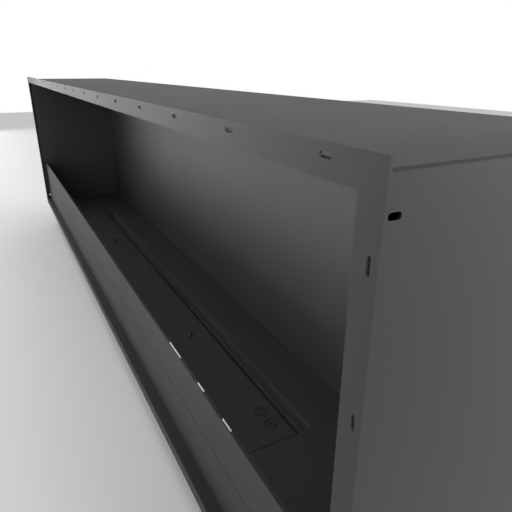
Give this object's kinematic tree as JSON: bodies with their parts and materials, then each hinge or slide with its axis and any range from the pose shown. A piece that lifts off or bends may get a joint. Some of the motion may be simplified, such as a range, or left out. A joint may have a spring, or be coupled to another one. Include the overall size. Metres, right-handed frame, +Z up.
{
  "type": "electric fireplace",
  "caption": "Long built-in electric fireplace: open-front charcoal sheet-steel casing with slotted flange, low front wall, lift-off floor lid and mist flame slot.",
  "frame": {"origin": "on the ground, under the middle of the casing", "axes": "+X along the casing to its right end, +Y from the open front to the back wall, +Z up"},
  "size_m": [2.016, 0.3, 0.6],
  "materials": {
    "charcoal_paint": "matt fine-textured powder coat",
    "tray_steel": "galvanised sheet",
    "tank_plastic": "moulded ABS",
    "black_plastic": "moulded nylon",
    "pale_key": "moulded pale grey ABS",
    "window_lens": "frosted acrylic",
    "light_lens": "clear extruded strip",
    "foot_rubber": "moulded rubber",
    "zinc_screw": "zinc plated",
    "knob_steel": "blackened turned steel",
    "disc_ceramic": "plated piezo disc",
    "board_green": "glass-fibre circuit board",
    "light_board_white": "white coated strip board",
    "chip_yellow": "light chips",
    "case_aluminium": "folded case",
    "pin_brass": "plated pins",
    "float_white": "foamed plastic"
  },
  "bodies": {
    "casing": {"top_panel": "charcoal_paint", "left_side_panel": "charcoal_paint", "right_side_panel": "charcoal_paint", "back_panel": "charcoal_paint", "floor_panel": "charcoal_paint", "casing_corner_angles": "charcoal_paint", "top_flange": "charcoal_paint", "bottom_flange": "charcoal_paint", "left_flange": "charcoal_paint", "right_flange": "charcoal_paint", "lower_front_rail": "charcoal_paint", "upper_front_panel": "charcoal_paint", "front_panel_brackets": "tray_steel", "left_side_liner": "charcoal_paint", "right_side_liner": "charcoal_paint", "key_carrier": "black_plastic", "status_window": "window_lens", "cutout_rails": "charcoal_paint", "rear_floor_plate": "charcoal_paint", "base_tray": "tray_steel", "base_left_end": "tray_steel", "base_right_end": "tray_steel", "base_feet": "foot_rubber", "base_screws": "zinc_screw", "water_tank": "tank_plastic", "drain_plug": "black_plastic", "tank_cover": "tank_plastic", "mist_channel": "charcoal_paint", "transducer_rings": "black_plastic", "transducer_discs": "disc_ceramic", "level_switch_stem": "pin_brass", "light_board_bar": "light_board_white", "light_chips": "chip_yellow", "light_cover": "light_lens", "left_fan_frame": "black_plastic", "right_fan_frame": "black_plastic", "power_supply": "case_aluminium", "mist_driver": "case_aluminium", "board_standoffs": "pin_brass", "control_board": "board_green", "board_parts": "black_plastic", "power_inlet": "black_plastic", "inlet_pins": "pin_brass", "switch_frame": "black_plastic", "inlet_lead": "black_plastic"},
    "lid": {"slot_lid": "charcoal_paint", "lid_knobs": "knob_steel", "button_bezels": "black_plastic", "button_housings": "black_plastic"},
    "light_button": {"light_button": "charcoal_paint"},
    "mist_button": {"mist_button": "charcoal_paint"},
    "power_key": {"power_key": "pale_key"},
    "flame_key": {"flame_key": "pale_key"},
    "level_float": {"level_float": "float_white"},
    "left_fan": {"left_fan_rotor": "black_plastic"},
    "right_fan": {"right_fan_rotor": "black_plastic"},
    "main_switch": {"switch_rocker": "black_plastic"}
  },
  "joints": [
    {"name": "lid_lift", "type": "slide", "parent": "casing", "child": "lid", "axis": [0, 0, 1], "range_m": [0, 0.15]},
    {"name": "light_button_press", "type": "slide", "parent": "lid", "child": "light_button", "axis": [0, 0, -1], "range_m": [0, 0.002], "stiffness_N_per_m": 500, "springref_m": -0.001},
    {"name": "mist_button_press", "type": "slide", "parent": "lid", "child": "mist_button", "axis": [0, 0, -1], "range_m": [0, 0.002], "stiffness_N_per_m": 500, "springref_m": -0.001},
    {"name": "power_key_press", "type": "slide", "parent": "casing", "child": "power_key", "axis": [0, 0, -1], "range_m": [0, 0.0012], "stiffness_N_per_m": 500, "springref_m": -0.001},
    {"name": "flame_key_press", "type": "slide", "parent": "casing", "child": "flame_key", "axis": [0, 0, -1], "range_m": [0, 0.0012], "stiffness_N_per_m": 500, "springref_m": -0.001},
    {"name": "level_float_rise", "type": "slide", "parent": "casing", "child": "level_float", "axis": [0, 0, 1], "range_m": [0, 0.01]},
    {"name": "left_fan_spin", "type": "hinge", "parent": "casing", "child": "left_fan", "pos_m": [-0.7, 0.044, 0.052], "axis": [1, 0, 0], "continuous": true},
    {"name": "right_fan_spin", "type": "hinge", "parent": "casing", "child": "right_fan", "pos_m": [0.7, 0.044, 0.052], "axis": [1, 0, 0], "continuous": true},
    {"name": "main_switch_rock", "type": "hinge", "parent": "casing", "child": "main_switch", "pos_m": [0.956, -0.023, 0.052], "axis": [0, 1, 0], "range_deg": [0, 16]}
  ]
}
